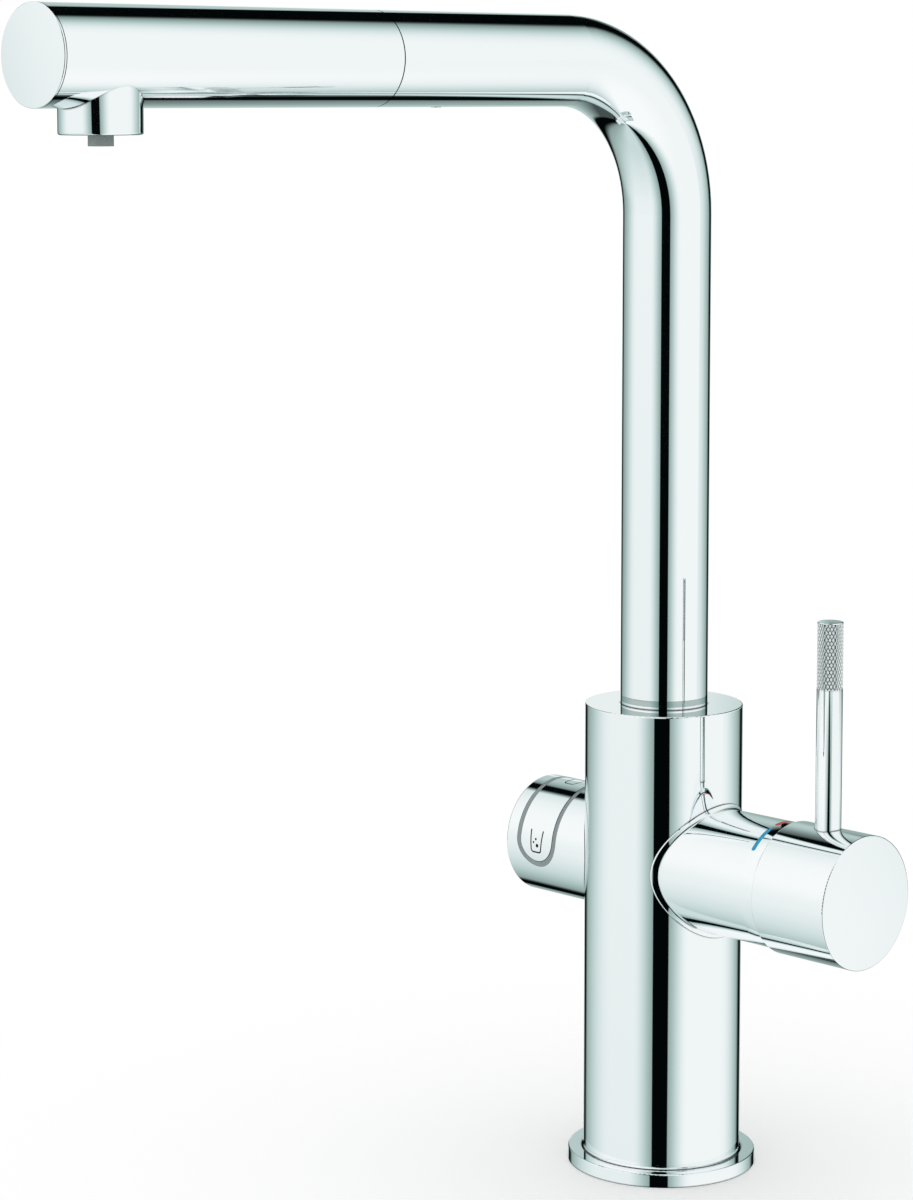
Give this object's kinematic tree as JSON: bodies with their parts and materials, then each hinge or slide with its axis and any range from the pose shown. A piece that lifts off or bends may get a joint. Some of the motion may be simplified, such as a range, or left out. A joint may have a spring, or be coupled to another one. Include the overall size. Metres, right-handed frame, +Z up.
{
  "type": "filtered water kitchen tap",
  "caption": "L-shaped kitchen mixer tap with swivel spout, pull-out head, separate filtered outlet, side mixer lever and a touch knob for filtered water.",
  "frame": {"origin": "centre of the round foot on the worktop", "axes": "+Z up, -Y the way the spout points over the sink, +X the mixer lever's side"},
  "size_m": [0.1323, 0.2706, 0.3588],
  "materials": {
    "chrome_plated_brass": "polished",
    "turned_brass": "machined",
    "stainless_steel": "machined",
    "polished_stainless_steel": "polished",
    "grey_acetal": "moulded",
    "white_acetal": "moulded",
    "grey_aerator_plastic": "moulded",
    "black_nylon": "moulded",
    "black_rubber": "moulded",
    "sintered_ceramic": "lapped",
    "braided_nylon_hose": "braided",
    "clear_polyethylene_tube": "extruded",
    "light_guide_plastic": "moulded",
    "icon_enamel": "filled",
    "blue_enamel": "filled",
    "red_enamel": "filled",
    "green_circuit_board": "laminated",
    "lamp_resin": "cast",
    "switch_plastic": "moulded"
  },
  "bodies": {
    "tap_body": {"base_plate": "chrome_plated_brass", "base_gasket": "black_rubber", "body_shell": "chrome_plated_brass", "waterway_core": "turned_brass", "non_return_valves": "white_acetal", "cable_gland": "black_rubber", "swivel_socket": "turned_brass", "lower_slide_ring": "grey_acetal", "top_slide_ring": "grey_acetal", "riser_washer": "polished_stainless_steel", "swivel_stop_screw": "stainless_steel", "mixer_sleeve": "chrome_plated_brass", "cold_mark": "blue_enamel", "hot_mark": "red_enamel", "cartridge_base": "white_acetal", "cartridge_seals": "black_rubber", "ceramic_disc_fixed": "sintered_ceramic", "cartridge_housing": "white_acetal", "cartridge_nut": "turned_brass", "knob_shell": "chrome_plated_brass", "knob_core": "black_nylon", "knob_screw": "stainless_steel", "light_ring": "light_guide_plastic", "light_leds": "lamp_resin", "switch_board": "green_circuit_board", "touch_switches": "switch_plastic", "keypad_seal": "black_rubber", "button_pivot_pin": "stainless_steel"},
    "spout": {"spout_tube": "chrome_plated_brass", "dock_collar": "black_nylon", "dock_screw": "stainless_steel", "hose_guides": "white_acetal", "pull_out_hose": "braided_nylon_hose", "filtered_hose": "clear_polyethylene_tube"},
    "pull_out_head": {"head_shell": "chrome_plated_brass", "head_end_cap": "chrome_plated_brass", "head_spigot": "white_acetal", "spigot_o_ring": "black_rubber", "hose_connector": "turned_brass", "head_valve": "white_acetal", "flow_insert": "white_acetal", "aerator_seal": "black_rubber", "aerator_housing": "grey_aerator_plastic", "aerator_mesh": "grey_aerator_plastic", "filtered_nozzle": "grey_acetal"},
    "mixer_turn": {"cartridge_spindle": "white_acetal", "lever_pivot_pin": "stainless_steel"},
    "mixer_lever": {"lever_stem": "stainless_steel", "handle_shell": "chrome_plated_brass", "handle_insert": "turned_brass", "lever_rod": "chrome_plated_brass", "handle_set_screw": "stainless_steel"},
    "mixer_disc": {"ceramic_disc_moving": "sintered_ceramic", "disc_carrier": "white_acetal"},
    "button": {"button_plate": "chrome_plated_brass", "button_carrier": "black_nylon", "button_icons": "icon_enamel"}
  },
  "joints": [
    {"name": "spout_swivel", "type": "hinge", "parent": "tap_body", "child": "spout", "pos_m": [0, 0, 0.13], "axis": [0, 0, 1], "range_deg": [-75, 75]},
    {"name": "head_pull_out", "type": "slide", "parent": "spout", "child": "pull_out_head", "axis": [0, -1, 0], "range_m": [0, 0.3], "deforming": ["pull_out_hose", "filtered_hose"]},
    {"name": "temperature_turn", "type": "hinge", "parent": "tap_body", "child": "mixer_turn", "pos_m": [0.0486, 0, 0.09675], "axis": [1, 0, 0], "range_deg": [-45, 45]},
    {"name": "flow_lift", "type": "hinge", "parent": "mixer_turn", "child": "mixer_lever", "pos_m": [0.0486, 0, 0.09675], "axis": [0, 1, 0], "range_deg": [0, 20]},
    {"name": "disc_slide", "type": "slide", "parent": "mixer_turn", "child": "mixer_disc", "axis": [0, 0, 1], "range_m": [0, 0.0043]},
    {"name": "button_rock", "type": "hinge", "parent": "tap_body", "child": "button", "pos_m": [-0.03765, -0.00959, 0.10722], "axis": [1, 0, 0], "range_deg": [-1.2, 1.2], "stiffness_Nm_per_rad": 1.2}
  ],
  "couplings": [
    {"joint": "disc_slide", "follows": "flow_lift", "m_per_rad": 0.0122}
  ]
}
